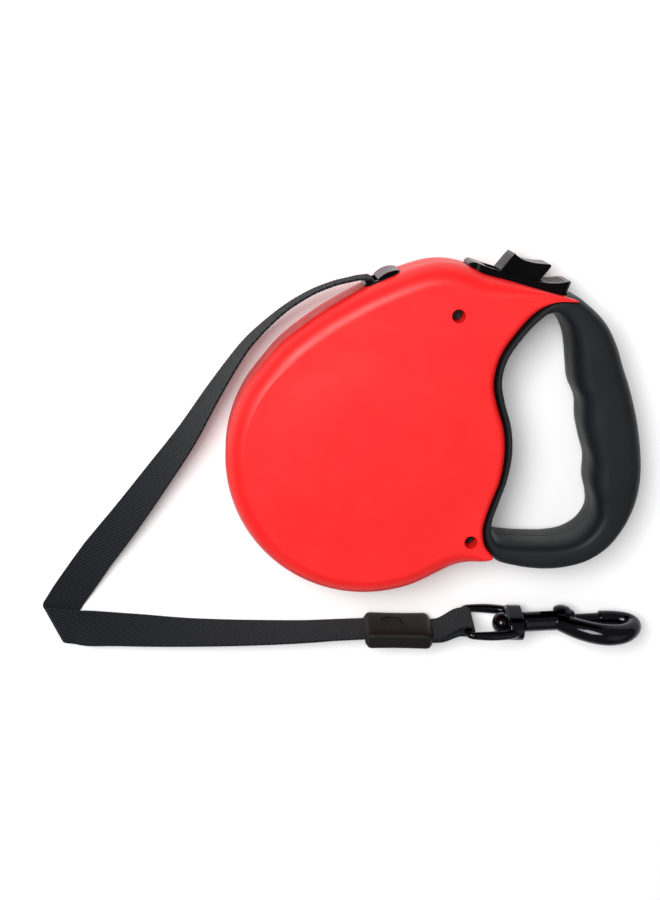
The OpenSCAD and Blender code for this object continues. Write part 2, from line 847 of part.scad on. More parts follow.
// Clip frame: barrel axis along x, the hook's bow towards z, the thumb knob towards y
module at_clip() {
    at_end()
        translate([swivel_x, eye_y, 0])
            rotate([0, clip_droop, 0])
                translate([-swivel_x, 0, 0])
                    children();
}

module along_x(x0, x1, r) {
    translate([x0, 0, 0])
        rotate([0, 90, 0])
            cylinder(h = x1 - x0, r = r);
}

module swivel_eye() {
    color([0.1, 0.1, 0.11])
        difference() {
            at_end()
                translate([0, eye_y, 0]) {
                    swept_bar(eye_loop, true, 12);
                    for (c = [[64.3, 9, 15.6], [65.1, 10.6, 18.6]])
                        translate([c[0], 0, 0])
                            rotate([90, 0, 90])
                                linear_extrude(71.2 - c[0])
                                    stadium(c[1], c[2], c[1] / 2 - 0.05);
                }
            at_clip()
                along_x(60, 80, 2.6);
        }
}

module swivel_rivet() {
    color([0.12, 0.12, 0.13])
        at_clip() {
            along_x(62, 74.6, 2.55);
            intersection() {
                along_x(58, 63.8, 4.5);
                translate([64.2, 0, 0])
                    sphere(r = 5.6);
            }
        }
}

knob_x = 89;
knob_r = 4;
hook_bow = [
    [86, 0.6, 3], [90, 3.4, 3.9], [95, 7.4, 4.4], [101, 10.9, 4.6], [107, 12.6, 4.6], [113, 12.2, 4.3],
    [117.6, 9.4, 3.9], [119.6, 5.9, 3.5], [118.2, 2.9, 3.4], [114.8, 1.1, 3.3], [110.5, 0.3, 3.3],
        [106, 0, 3.3]
];

module hook_body() {
    color([0.1, 0.1, 0.11])
        at_clip()
            difference() {
                union() {
                    along_x(72, 95, barrel_r);
                    swept_bar(smooth_run(hook_bow, 3), false, 12);
                }
                along_x(70, 74.9, 2.58);
                along_x(75.4, 108.4, bolt_r + run);
                slab(knob_x - 9.6, knob_x + 1.2, 0, 8, -1.2, 1.2);
            }
}

module snap_bolt() {
    color([0.16, 0.16, 0.17])
        at_clip()
            difference() {
                along_x(knob_x - 1.6, 107.8, bolt_r);
                translate([knob_x, -0.9, 0])
                    rotate([-90, 0, 0])
                        cylinder(h = 4, r = 1.07);
            }
}

module bolt_knob() {
    color([0.12, 0.12, 0.13])
        at_clip()
            translate([knob_x, 0, 0])
                rotate([-90, 0, 0]) {
                    translate([0, 0, -0.8])
                        cylinder(h = barrel_r + 1.6, r = 1.05);
                    translate([0, 0, barrel_r + 0.35])
                        cylinder(h = 0.8, r = knob_r);
                    intersection() {
                        translate([0, 0, barrel_r + 1.1])
                            cylinder(h = 3, r = knob_r);
                        translate([0, 0, barrel_r - 4.7])
                            sphere(r = 7.05);
                    }
                }
}

module bolt_spring() {
    color([0.7, 0.7, 0.72])
        at_clip()
            translate([75.6, 0, 0])
                rotate([0, 90, 0])
                    coil(1.9, 0.3, knob_x - 1.7 - 75.6, 7, 6);
}

front_shell();
back_shell();
grip_front();
grip_back();
handle_core();
tape_guide();
button_bezel();
case_screws();
axle();
thrust_washers();
reel_drum();
spring_cover();
power_spring();
tape_winding();
tape_anchor_pin();
tape_inner_run();
brake_pawl();
brake_spring();
thumb_button();
tape();
keeper();
swivel_eye();
swivel_rivet();
hook_body();
snap_bolt();
bolt_knob();
bolt_spring();
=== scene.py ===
from math import acos, atan2, cos, hypot, pi, radians, sin, sqrt, tan

import bmesh
import bpy
from mathutils import Matrix, Vector


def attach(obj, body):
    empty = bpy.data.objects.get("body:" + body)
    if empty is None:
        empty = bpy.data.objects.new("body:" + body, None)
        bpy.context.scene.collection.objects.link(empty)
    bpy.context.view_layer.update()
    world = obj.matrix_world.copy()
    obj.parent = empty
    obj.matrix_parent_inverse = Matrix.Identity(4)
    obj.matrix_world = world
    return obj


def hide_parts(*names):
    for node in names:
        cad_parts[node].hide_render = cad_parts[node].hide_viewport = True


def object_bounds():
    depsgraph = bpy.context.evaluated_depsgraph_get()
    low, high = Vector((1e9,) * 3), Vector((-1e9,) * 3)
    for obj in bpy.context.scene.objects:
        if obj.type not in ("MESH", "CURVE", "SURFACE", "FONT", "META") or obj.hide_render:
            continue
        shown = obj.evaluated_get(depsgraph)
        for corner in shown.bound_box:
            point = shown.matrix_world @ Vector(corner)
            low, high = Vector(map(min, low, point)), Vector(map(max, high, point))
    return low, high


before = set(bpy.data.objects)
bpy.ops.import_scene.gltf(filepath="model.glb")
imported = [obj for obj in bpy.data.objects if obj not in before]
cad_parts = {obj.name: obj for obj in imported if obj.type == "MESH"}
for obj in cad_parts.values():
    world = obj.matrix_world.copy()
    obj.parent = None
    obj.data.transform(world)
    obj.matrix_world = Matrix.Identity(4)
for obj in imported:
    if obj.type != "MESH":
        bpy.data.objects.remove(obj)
cad_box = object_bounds()

# All shapes below are worked out in millimetres, as in the part's source, and scaled once
MM = 0.001

# ---- driving sizes, the same as the part's ----
CASE_T = 36.0
MID_Z = CASE_T / 2
NECK_Z = CASE_T - 0.8
SHOULDER_W = 8.5
SHOULDER_H = 10.0
DISC_R = 57.0
GRIP_T = 30.0
TAPE_W = 15.0
TAPE_T = 1.1
WOUND_R = 45.0
BARREL_R = 4.3
BOLT_R = 2.4


# ---- camera ----
def make_camera():
    """Looks at the front of the case from a little above, rolled by a small angle."""
    lean_x, lean_y = radians(-4.4), radians(14.0)
    roll, reach = radians(2.3), 600.0
    back = Vector((tan(lean_x), tan(lean_y), 1.0)).normalized()
    flat = Vector((0, 1, 0)).cross(back).normalized()
    up = back.cross(flat)
    right = flat * cos(roll) + up * sin(roll)
    top = up * cos(roll) - flat * sin(roll)
    place = Matrix((right, top, back)).transposed().to_4x4()
    place.translation = (Vector((-13.05, -3.8, 0)) + back * reach) * MM
    data = bpy.data.cameras.new("camera")
    data.sensor_width = 36.0
    data.lens = 57.03
    data.clip_start = 0.01
    camera = bpy.data.objects.new("camera", data)
    bpy.context.scene.collection.objects.link(camera)
    camera.matrix_world = place
    bpy.context.scene.camera = camera


make_camera()


# ---- shape helpers ----
def spline(points, steps, closed=False):
    """Catmull-Rom through tuples of any length, with the given steps between neighbours."""
    n = len(points)
    spans = n if closed else n - 1
    at = (lambda i: points[i % n]) if closed else (lambda i: points[min(max(i, 0), n - 1)])
    out = []
    for i in range(spans):
        a, b, c, d = at(i - 1), at(i), at(i + 1), at(i + 2)
        for j in range(steps):
            t = j / steps
            out.append(tuple(
                q + 0.5 * t * (r - p + t * (2 * p - 5 * q + 4 * r - s + t * (3 * q - p - 3 * r + s)))
                for p, q, r, s in zip(a, b, c, d)
            ))
    if not closed:
        out.append(tuple(points[-1]))
    return out


def turned(x, y, angle):
    """A frame at (x, y), turned by an angle in degrees about Z."""
    return Matrix.Translation((x, y, 0)) @ Matrix.Rotation(radians(angle), 4, "Z")


HERE = Matrix.Identity(4)
# Frames of the sub-parts: the brake button's slope, the webbing's guide, the webbing's end and the clip
SLOPE = turned(60, 71.46, -13.4)
GUIDE_X, GUIDE_Y, GUIDE_LEAN = 3.7, 71.6, 24
GUIDE = turned(GUIDE_X, GUIDE_Y, GUIDE_LEAN)
END_AT = Vector((0, -80, 10.8))
EYE_Y = 4.9
SWIVEL_X = 68.0
END = Matrix.Translation(END_AT) @ Matrix.Rotation(radians(14), 4, "X")
DROOP = Matrix.Rotation(radians(6), 4, "Y")
CLIP = END @ Matrix.Translation((SWIVEL_X, EYE_Y, 0)) @ DROOP @ Matrix.Translation((-SWIVEL_X, 0, 0))
# Frames whose Z runs along the local X, or along the local Y
ALONG_X = Matrix.Rotation(radians(90), 4, "Y")
ALONG_Y = Matrix.Rotation(radians(-90), 4, "X")


def thing(name, points, faces, where=HERE):
    """An object from points in millimetres, set in a frame."""
    mesh = bpy.data.meshes.new(name)
    mesh.from_pydata([(where @ Vector(p)) * MM for p in points], [], faces)
    mesh.validate()
    piece = bpy.data.objects.new(name, mesh)
    bpy.context.scene.collection.objects.link(piece)
    return piece


def skin(name, rings, loop=False, where=HERE):
    """A surface over rings of equal count; loop joins the last to the first, else the ends are capped."""
    n, count = len(rings[0]), len(rings)
    faces = []
    for k in range(count if loop else count - 1):
        a, b = k * n, ((k + 1) % count) * n
        faces += [(a + i, a + (i + 1) % n, b + (i + 1) % n, b + i) for i in range(n)]
    if not loop:
        faces.append(tuple(reversed(range(n))))
        faces.append(tuple((count - 1) * n + i for i in range(n)))
    piece = thing(name, [p for ring in rings for p in ring], faces, where)
    outward(piece)
    return piece


def outward(piece):
    """Turns all faces of a closed mesh outwards."""
    work = bmesh.new()
    work.from_mesh(piece.data)
    bmesh.ops.recalc_face_normals(work, faces=work.faces)
    if work.calc_volume(signed=True) < 0:
        bmesh.ops.reverse_faces(work, faces=work.faces)
    work.to_mesh(piece.data)
    work.free()


def prism(points, z0, z1, where=HERE):
    """A flat outline, drawn out from one height to another."""
    return skin("cutter", [[(x, y, z) for x, y in points] for z in (z0, z1)], where=where)


def box(x0, x1, y0, y1, z0, z1, where=HERE):
    return prism([(x0, y0), (x1, y0), (x1, y1), (x0, y1)], z0, z1, where)


def turning(profile, sides=48, where=HERE):
    """A solid of revolution about Z from (radius, z) pairs, capped flat at both ends."""
    turns = [2 * pi * i / sides for i in range(sides)]
    rings = [[(r * cos(a), r * sin(a), z) for a in turns] for r, z in profile]
    return skin("cutter", rings, where=where)


def disc(x, y, r0, r1, z0, z1, sides=64, where=HERE):
    """A cylinder or cone at (x, y), from radius r0 at height z0 to r1 at z1."""
    return turning([(r0, z0), (r1, z1)], sides, where @ Matrix.Translation((x, y, 0)))


def stadium(w, h, r, steps=10):
    """Outline of a rectangle round the origin, with corners of radius r."""
    x, y = w / 2 - r, h / 2 - r
    corners = ((x, y, 0), (-x, y, 90), (-x, -y, 180), (x, -y, 270))
    return [
        (x + r * cos(radians(a + 90 * i / steps)), y + r * sin(radians(a + 90 * i / steps)))
        for x, y, a in corners for i in range(steps + 1)
    ]


def plan(u, w, h, r, v0, v1, where):
    """A rounded plan across the case, raised along the frame's outward direction."""
    stand = where @ Matrix.Translation((u, 0, MID_Z)) @ ALONG_Y
    return prism([(x, y) for x, y in stadium(w, h, r)], v0, v1, stand)


def settle(piece):
    """Applies the piece's modifiers to its mesh."""
    seen = piece.evaluated_get(bpy.context.evaluated_depsgraph_get())
    mesh = bpy.data.meshes.new_from_object(seen)
    old = piece.data
    piece.modifiers.clear()
    piece.data = mesh
    mesh.name = piece.name
    bpy.data.meshes.remove(old)
    return piece


def combine(piece, others, how):
    """Boolean of a piece with others, which are used up."""
    for other in others:
        step = piece.modifiers.new(how, "BOOLEAN")
        step.operation = how
        step.solver = "MANIFOLD"
        step.object = other
    settle(piece)
    for other in others:
        mesh = other.data
        bpy.data.objects.remove(other)
        bpy.data.meshes.remove(mesh)
    return piece


def cut(piece, *others):
    return combine(piece, others, "DIFFERENCE")


def join(piece, *others):
    return combine(piece, others, "UNION")


def keep(piece, *others):
    return combine(piece, others, "INTERSECT")


def weld(piece, reach=0.004):
    """Takes out the slivers of no area that cuts and bevels leave behind."""
    work = bmesh.new()
    work.from_mesh(piece.data)
    bmesh.ops.dissolve_degenerate(work, edges=work.edges, dist=reach * MM)
    work.to_mesh(piece.data)
    work.free()
    return piece


def soften(piece, width, angle=35, segments=3):
    """Rounds the edges that are sharper than an angle."""
    step = piece.modifiers.new("round", "BEVEL")
    step.width = width * MM
    step.segments = segments
    step.limit_method = "ANGLE"
    step.angle_limit = radians(angle)
    step.use_clamp_overlap = True
    return weld(settle(piece))


def melt(piece, voxel, smooth=4, factor=0.5):
    """One smooth casting: joins what overlaps and rounds the corners between."""
    step = piece.modifiers.new("cast", "REMESH")
    step.mode = "VOXEL"
    step.voxel_size = voxel * MM
    step = piece.modifiers.new("flow", "SMOOTH")
    step.factor = factor
    step.iterations = smooth
    return settle(piece)


def finish_piece(piece, name, material, body, nodes, angle=32):
    """Names a piece, shades it, gives it its finish, hangs it on the body it rides on, and hides the
    model's parts it stands in for.
    """
    piece.name = name
    piece.data.name = name
    piece.data.materials.clear()
    piece.data.materials.append(material)
    for face in piece.data.polygons:
        face.material_index = 0
    piece.data.shade_smooth()
    piece.data.set_sharp_from_angle(angle=radians(angle))
    step = piece.modifiers.new("even", "WEIGHTED_NORMAL")
    step.keep_sharp = True
    settle(piece)
    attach(piece, body)
    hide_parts(*nodes)
    return piece


# ---- materials ----
class Paint:
    """A material under construction: its node tree and the calls that add to it."""

    def __init__(self, name, **values):
        self.material = bpy.data.materials.new(name)
        self.material.use_nodes = True
        self.nodes = self.material.node_tree.nodes
        self.links = self.material.node_tree.links
        self.shader = self.nodes["Principled BSDF"]
        for key, value in values.items():
            self.shader.inputs[key.replace("_", " ")].default_value = value
        self.place = self.nodes.new("ShaderNodeTexCoord").outputs["Object"]

    def add(self, kind, inputs=None, **settings):
        node = self.nodes.new(kind)
        for key, value in settings.items():
            setattr(node, key, value)
        for key, value in (inputs or {}).items():
            if isinstance(value, bpy.types.NodeSocket):
                self.links.new(value, node.inputs[key])
            else:
                node.inputs[key].default_value = value
        return node

    def noise(self, scale, detail=3.0, rough=0.55):
        return self.add("ShaderNodeTexNoise", {
            "Vector": self.place, "Scale": scale, "Detail": detail, "Roughness": rough,
        }).outputs["Fac"]

    def ramp(self, fac, low, high, out_low, out_high):
        return self.add("ShaderNodeMapRange", {
            "Value": fac, "From Min": low, "From Max": high, "To Min": out_low, "To Max": out_high,
        }).outputs["Result"]

    def math(self, how, a, b=0.0):
        return self.add("ShaderNodeMath", {0: a, 1: b}, operation=how).outputs[0]

    def blend(self, fac, a, b):
        node = self.add("ShaderNodeMix", data_type="RGBA")
        self.links.new(fac, node.inputs["Factor"])
        node.inputs["A"].default_value = (*a, 1)
        node.inputs["B"].default_value = (*b, 1)
        return node.outputs["Result"]

    def colour(self, socket):
        self.links.new(socket, self.shader.inputs["Base Color"])

    def roughness(self, socket):
        self.links.new(socket, self.shader.inputs["Roughness"])

    def bump(self, height, strength, distance):
        node = self.add("ShaderNodeBump", {"Height": height, "Strength": strength, "Distance": distance})
        self.links.new(node.outputs["Normal"], self.shader.inputs["Normal"])


def moulded(name, dark, light, rough, grain, depth, **values):
    """Moulded plastic or rubber: a fine spark-eroded grain, slow colour drift and uneven gloss."""
    paint = Paint(name, **values)
    drift = paint.noise(38, 4)
    paint.colour(paint.blend(paint.ramp(drift, 0.35, 0.65, 0, 1), dark, light))
    smear = paint.noise(120, 5, 0.6)
    paint.roughness(paint.ramp(smear, 0.3, 0.7, rough - 0.04, rough + 0.05))
    paint.bump(paint.noise(grain, 2, 0.5), 0.5, depth * MM)
    return paint.material


def brushed(name, tone, rough, metal=1.0, scale=900):
    """Metal with fine rolling marks and faint stains."""
    paint = Paint(name, Metallic=metal)
    stain = paint.noise(60, 4)
    light = tuple(min(1.0, c * 1.15) for c in tone)
    paint.colour(paint.blend(paint.ramp(stain, 0.35, 0.65, 0, 1), tone, light))
    marks = paint.noise(scale, 3)
    paint.roughness(paint.ramp(marks, 0.3, 0.7, rough - 0.06, rough + 0.08))
    paint.bump(marks, 0.25, 0.02 * MM)
    return paint.material


# Twill of the webbing, in millimetres: the ribs' angle to its length and their spacing, and the threads'
RIB_ANGLE = radians(26)
RIB_LONG, RIB_OVER = sin(RIB_ANGLE), cos(RIB_ANGLE)
RIB_PITCH = 1.25
THREAD_PITCH = 0.55


def woven(name):
    """Black polyester twill that follows the webbing's own length and width, with painted shade in its
    valleys and a painted highlight on its crests.
    """
    paint = Paint(name, Sheen_Weight=0.08, Sheen_Roughness=0.45, Specular_IOR_Level=0.14)
    flat = paint.add("ShaderNodeUVMap", uv_map="cloth").outputs["UV"]
    split = paint.add("ShaderNodeSeparateXYZ", {"Vector": flat})
    along, over = split.outputs["X"], split.outputs["Y"]
    rib = paint.math("ADD", paint.math("MULTIPLY", along, RIB_LONG), paint.math("MULTIPLY", over, RIB_OVER))
    phase = paint.math("SINE", paint.math("MULTIPLY", rib, 2 * pi / (RIB_PITCH * MM)))
    slant = paint.math("SUBTRACT", along, over)
    thread = paint.math("SINE", paint.math("MULTIPLY", slant, 2 * pi / (THREAD_PITCH * MM)))
    fuzz = paint.noise(2600, 3)
    high = paint.math("ADD", paint.math("MULTIPLY", phase, 0.5), paint.math("MULTIPLY", thread, 0.28))
    high = paint.math("ADD", high, fuzz)
    # Colour follows the weave's height: near black in the valleys as painted shade, lighter on the crests
    # as painted highlight.
    shaded_valley, highlit_crest = (0.0008, 0.0009, 0.0012), (0.017, 0.02, 0.024)
    paint.colour(paint.blend(paint.ramp(high, -0.3, 1.3, 0, 1), shaded_valley, highlit_crest))
    paint.roughness(paint.ramp(high, -0.3, 1.3, 0.85, 0.6))
    paint.bump(high, 0.9, 0.16 * MM)
    return paint.material


CASE_RED = moulded(
    "case_red", (0.8, 0.007, 0.008), (0.85, 0.01, 0.01), 0.42, 2600, 0.03, Specular_IOR_Level=0.4,
)
GRIP_BLACK = moulded(
    "grip_black", (0.0065, 0.0078, 0.0095), (0.0095, 0.011, 0.013), 0.5, 1500, 0.05,
    Specular_IOR_Level=0.2,
)
CORE_RED = moulded("core_red", (0.5, 0.02, 0.02), (0.58, 0.03, 0.03), 0.5, 1800, 0.03)
TRIM_BLACK = moulded(
    "trim_black", (0.0015, 0.0015, 0.0018), (0.0025, 0.0025, 0.003), 0.2, 3200, 0.006,
    Specular_IOR_Level=0.05,
)
KEEPER_BLACK = moulded(
    "keeper_black", (0.006, 0.0052, 0.0052), (0.009, 0.0075, 0.0075), 0.48, 1500, 0.04,
    Specular_IOR_Level=0.18,
)
REEL_WHITE = moulded("reel_white", (0.76, 0.73, 0.64), (0.84, 0.81, 0.73), 0.4, 1800, 0.02)
STEEL = brushed("steel", (0.5, 0.5, 0.52), 0.32)
DARK_STEEL = brushed("dark_steel", (0.03, 0.03, 0.032), 0.4)
BLACK_NICKEL = brushed("black_nickel", (0.022, 0.022, 0.026), 0.12, scale=500)
WOUND = moulded("wound_webbing", (0.008, 0.009, 0.011), (0.03, 0.032, 0.036), 0.75, 3000, 0.2)
WEBBING = woven("webbing")

# ---- webbing: the free cord ----
# The guide's rolled lip, which the webbing leaves on a tangent from the wound coil
LIP_T, LIP_N, LIP_R = -6.4, 0.4, 1.5
LEAN_COS, LEAN_SIN = cos(radians(GUIDE_LEAN)), sin(radians(GUIDE_LEAN))
LIP = Vector((
    GUIDE_X + LIP_T * LEAN_COS - LIP_N * LEAN_SIN,
    GUIDE_Y + LIP_T * LEAN_SIN + LIP_N * LEAN_COS,
))
GAP = 0.3
LIP_OFF = LIP_R + GAP + TAPE_T / 2
COIL_OFF = WOUND_R + GAP + TAPE_T / 2
EXIT_A = atan2(LIP.y, LIP.x) - acos((COIL_OFF - LIP_OFF) / LIP.length)

# The sharp fold at the lower left: a point of the crease, the webbing's heading into it, and the crease
FOLD_AT = Vector((-127.8, -79.6))
FOLD_IN = Vector((-0.5, -0.866)).normalized()
CREASE = Vector((0.46, -0.888)).normalized()
FOLD_N = Vector((CREASE.y, -CREASE.x))
FOLD_R = 1.6
LOW_Z = 0.65

# Middle of the webbing and the turn of its width from level: to the fold, and from it to the keeper
RUN_A = [
    (-6, 71.3, 18, 92), (-9.5, 70.4, 18, 92.5), (-15, 68.9, 18, 92.5), (-22.3, 65.9, 17.8, 92),
    (-28, 62.6, 17.4, 91), (-33.6, 58.7, 17, 90), (-39.2, 53.8, 16.3, 88), (-44.8, 48.1, 15.5, 85),
    (-50.1, 41.8, 14.6, 81.5), (-56.4, 32.1, 13.2, 76), (-63.6, 19.9, 11.6, 68.5), (-73, 3.2, 9.6, 57.5),
    (-84.2, -13.9, 7.6, 46.5), (-97.3, -33.2, 5.6, 34), (-109.8, -50.6, 3.4, 20),
]
RUN_B = [
    (-114, -83.2, 4.6, 162), (-109, -83, 5.5, 148), (-103, -82.9, 6, 139.5), (-90, -83.1, 6.6, 132),
    (-74, -83.4, 7.2, 122.5), (-56, -83.3, 7.6, 116.5), (-38, -82.8, 8, 112), (-22, -82, 8.5, 107.5),
    (-9, -80.8, 9.2, 105),
]
BAR_X, BAR_R = 47.4, 1.6
STRAND = TAPE_T / 2 + 0.12
WRAP_R = BAR_R + GAP + TAPE_T / 2
RUN_END = [(x, STRAND) for x in (4, 12, 21, 33.4)] + [(37.5, STRAND + 1.3), (42.5, EYE_Y + 0.9)] + [
    (BAR_X + WRAP_R * cos(radians(a)), EYE_Y + WRAP_R * sin(radians(a))) for a in range(120, -121, -30)
] + [(43.2, EYE_Y - 2.3), (38, 0), (33.4, -STRAND), (21, -STRAND), (10, -STRAND)]


def free_stations(points):
    """Middle and width direction at each point of a run that is turned about its own heading."""
    out = []
    for i, p in enumerate(points):
        a, b = points[max(i - 1, 0)], points[min(i + 1, len(points) - 1)]
        heading = (Vector(b[:3]) - Vector(a[:3])).normalized()
        level = Vector((-heading.y, heading.x, 0)).normalized()
        above = heading.cross(level)
        out.append((Vector(p[:3]), level * cos(radians(p[3])) + above * sin(radians(p[3]))))
    return out


def round_fold(p, up):
    """A point of the flat webbing, carried round the crease, at a height over its middle."""
    d, s = (p - FOLD_AT).dot(FOLD_N), (p - FOLD_AT).dot(CREASE)
    a = max(0.0, min(pi, d / FOLD_R))
    reach = FOLD_R - up
    g = min(d, 0.0) - max(d - pi * FOLD_R, 0.0) + reach * sin(a)
    spot = FOLD_AT + CREASE * s + FOLD_N * g
    return Vector((spot.x, spot.y, LOW_Z + FOLD_R - reach * cos(a)))


def end_stations(points):
    """Middle and width direction along the webbing's end, which stands on its edge."""
    wide = (END @ Vector((0, 0, 1))) - END_AT
    return [(END @ Vector((x, y, 0)), wide) for x, y in points]


def resampled(stations, step):
    """Stations at even steps along the middle line, with the distance run."""
    far = [0.0]
    for (a, _), (b, _) in zip(stations, stations[1:]):
        far.append(far[-1] + (b - a).length)
    count = round(far[-1] / step)
    out, k = [], 0
    for i in range(count + 1):
        s = far[-1] * i / count
        while k < len(far) - 2 and far[k + 1] < s:
            k += 1
        t = (s - far[k]) / max(far[k + 1] - far[k], 1e-9)
        (spot, wide), (next_spot, next_wide) = stations[k:k + 2]
        out.append((spot.lerp(next_spot, t), wide.lerp(next_wide, t).normalized()))
    return out, far[-1]


# Places across the webbing, from edge to edge: closer together over the beaded selvedges
ACROSS = [-1.0, -0.975, -0.94, -0.9] + [-0.86 + 1.72 * i / 34 for i in range(35)] + [0.9, 0.94, 0.975, 1.0]


def cloth_height(s, y):
    """Half thickness of the webbing at a place along and across it."""
    selvedge, bead_pitch = 0.88, 1.7
    edge = abs(y) / (TAPE_W / 2)
    if edge > selvedge:
        bead = 0.5 + 0.5 * cos(2 * pi * s / bead_pitch)
        round_off = sqrt(max(0.0, 1 - ((edge - 0.94) / 0.062) ** 2))
        return TAPE_T / 2 * (0.42 + (0.38 + 0.2 * bead) * round_off)
    rib = 0.5 + 0.5 * sin(2 * pi * (s * RIB_LONG + y * RIB_OVER) / RIB_PITCH)
    return TAPE_T / 2 * (0.72 + 0.22 * rib)


def make_tape():
    """The free strip, the points of its middle line, and its length in metres."""
    start = [
        (LIP.x + LIP_OFF * cos(EXIT_A + radians(a)), LIP.y + LIP_OFF * sin(EXIT_A + radians(a)), MID_Z, 90)
        for a in range(12, 45, 12)
    ]
    leave = Vector((LIP.x + LIP_OFF * cos(EXIT_A), LIP.y + LIP_OFF * sin(EXIT_A), MID_Z))
    first = (leave, Vector((0, 0, 1)))
    lead_in = [first] + free_stations(start + spline(RUN_A, 4))
    fold_from, fold_to, fold_steps = -11.0, 14.0, 80
    step = 0.42
    square = Vector((FOLD_IN.y, -FOLD_IN.x))
    fold = []
    for i in range(fold_steps + 1):
        p = FOLD_AT + FOLD_IN * (fold_from + (fold_to - fold_from) * i / fold_steps)
        fold.append((p, -square))
    tail = free_stations(spline(RUN_B, 4)) + end_stations(spline(RUN_END, 3))
    before, length_before = resampled(lead_in + [(round_fold(fold[0][0], 0), turned_width(fold[0]))], step)
    after, _ = resampled([(round_fold(fold[-1][0], 0), turned_width(fold[-1]))] + tail, step)
    rings, centres, lengths = [], [], []

    def add_ring(s, place):
        """place(y, up) gives the point at a distance across and a height over the middle."""
        wide = [q * TAPE_W / 2 for q in ACROSS]
        under = [place(y, -cloth_height(s, y)) for y in wide]
        over = [place(y, cloth_height(s, y)) for y in reversed(wide)]
        rings.append(under + over)
        lengths.append(s)

    def add_run(stations, s0):
        for i, (c, w) in enumerate(stations):
            a, b = stations[max(i - 1, 0)][0], stations[min(i + 1, len(stations) - 1)][0]
            n = (b - a).normalized().cross(w).normalized()
            add_ring(s0 + i * step, lambda y, up, c=c, w=w, n=n: c + w * y + n * up)
            centres.append(c)

    add_run(before[:-1], 0.0)
    for i, (p, w) in enumerate(fold):
        s = length_before + (fold_to - fold_from) * i / fold_steps
        add_ring(s, lambda y, up, p=p, w=w: round_fold(p + w * y, up))
        centres.append(round_fold(p, 0))
    add_run(after[1:], length_before + fold_to - fold_from + step)
    tape = skin("webbing_strap", rings)
    uv = tape.data.uv_layers.new(name="cloth")
    n = len(rings[0])
    wide = [q * TAPE_W / 2 for q in ACROSS]
    around = wide + list(reversed(wide))
    for loop in tape.data.loops:
        k, i = divmod(loop.vertex_index, n)
        uv.data[loop.index].uv = (lengths[k] * MM, around[i] * MM)
    length = sum((b - a).length for a, b in zip(centres, centres[1:])) * MM
    return tape, centres, length


def turned_width(station):
    """Width direction of a flat station once it is carried round the crease."""
    p, w = station
    return (round_fold(p + w, 0) - round_fold(p - w, 0)).normalized()


# ---- case ----
# Free edge of the case: x, y and the share of the soft shoulder
TOP_EDGE = [
    (79.5, 66.6, 0.02), (70, 68.9, 0.1), (61, 71.1, 0.4), (52, 73.4, 0.8), (43.5, 75.6, 1), (36.5, 78.2, 1),
    (29, 79.5, 1), (21, 78.9, 1), (13, 76.4, 1), (5, 73, 1), (-4, 68.6, 1), (-12, 64, 1), (-20, 59, 1),
    (-28, 53, 1), (-36.5, 45.6, 1),
]
DISC_EDGE = [(DISC_R * cos(radians(a)), DISC_R * sin(radians(a)), 1) for a in range(141, 301, 9)]
GRIP_EDGE = [
    (36.5, -44.8, 0.95), (43, -42.4, 0.7), (49, -41.2, 0.3), (52.6, -39.2, 0.1), (49.1, -34.3, 0.2),
    (48, -27, 0.3), (50.5, -17, 0.35), (53.7, -7, 0.35), (54.8, 4, 0.35), (53.7, 14.5, 0.35),
    (50.4, 24, 0.35), (48.5, 33, 0.35), (50.4, 43.6, 0.35), (56.4, 53.6, 0.35), (63.3, 61.7, 0.3),
    (70.5, 66, 0.05),
]
CASE_LOOP = spline(TOP_EDGE + DISC_EDGE + GRIP_EDGE, 5, closed=True)
# Screws, the wells over their heads and the posts round them
SCREWS = [(32.4, 59.6), (43, -32.5)]
WELL_R, POST_R = 2.5, 4


def loop_inward(loop):
    """Unit directions that point inwards from the points of a closed loop."""
    out = []
    for i in range(len(loop)):
        a, b = loop[i - 1], loop[(i + 1) % len(loop)]
        dx, dy = b[0] - a[0], b[1] - a[1]
        size = hypot(dx, dy)
        out.append((-dy / size, dx / size))
    return out


CASE_IN = loop_inward(CASE_LOOP)


def case_ring(inset_share, drop_share, inset=0.0, z=None):
    """The case's loop, drawn in and lowered by shares of the soft shoulder, or set at a height."""
    ring = []
    for (x, y, f), (ix, iy) in zip(CASE_LOOP, CASE_IN):
        m = SHOULDER_W * f * inset_share + inset
        ring.append((x + ix * m, y + iy * m, NECK_Z - SHOULDER_H * f * drop_share if z is None else z))
    return ring


def half_form():
    """Outside of the front half: parting groove, wall, soft shoulder and flat face."""
    steps = 12
    rings = [case_ring(0, 0, 0.35, MID_Z + 0.02), case_ring(0, 0, 0.35, MID_Z + 0.12)]
    rings.append(case_ring(0, 0, 0, MID_Z + 0.42))
    for i in range(steps + 1):
        a = pi / 2 * i / steps
        rings.append(case_ring(1 - cos(a), 1 - sin(a)))
    form = skin("half", rings)
    # The middle of the face swells by a smooth hill, so that no edge shows where it starts
    swell, reach, tiny = CASE_T - NECK_Z, 50.0, 0.01
    rings_in, rings_up = 24, 15
    dish = [(0.2, NECK_Z - 1), (reach, NECK_Z - 1)]
    for i in range(rings_in):
        rise = (1 - cos(pi * min(1.0, i / rings_up))) / 2
        dish.append((reach * (1 - i / rings_in), NECK_Z + swell * rise - tiny))
    return join(form, turning(dish + [(0.2, CASE_T - tiny)], 160))


# Room inside the case for the brake and the webbing's way out: beside the reel, and up to the roof
ROOM = [
    (-24, 49), (-12, 60.2), (-2, 66), (8, 70.8), (20, 75.4), (29, 76.2), (36, 74.8), (44, 72.4),
    (60, 68.3), (61.4, 65), (61.2, 63), (54.6, 55.2), (48.3, 44.8), (46.3, 38), (46.3, 28), (20, 20),
]
HIGH_ROOM = [
    (-18, 47), (-8, 56.5), (2, 62), (12, 67), (21, 70.5), (29, 71.2), (36, 69.6), (55, 64.8),
    (53, 58), (47.6, 49), (45, 40), (43, 28), (20, 20),
]
ROOF_Z = CASE_T - 2.6
AXLE_SEAT_R = 4.05


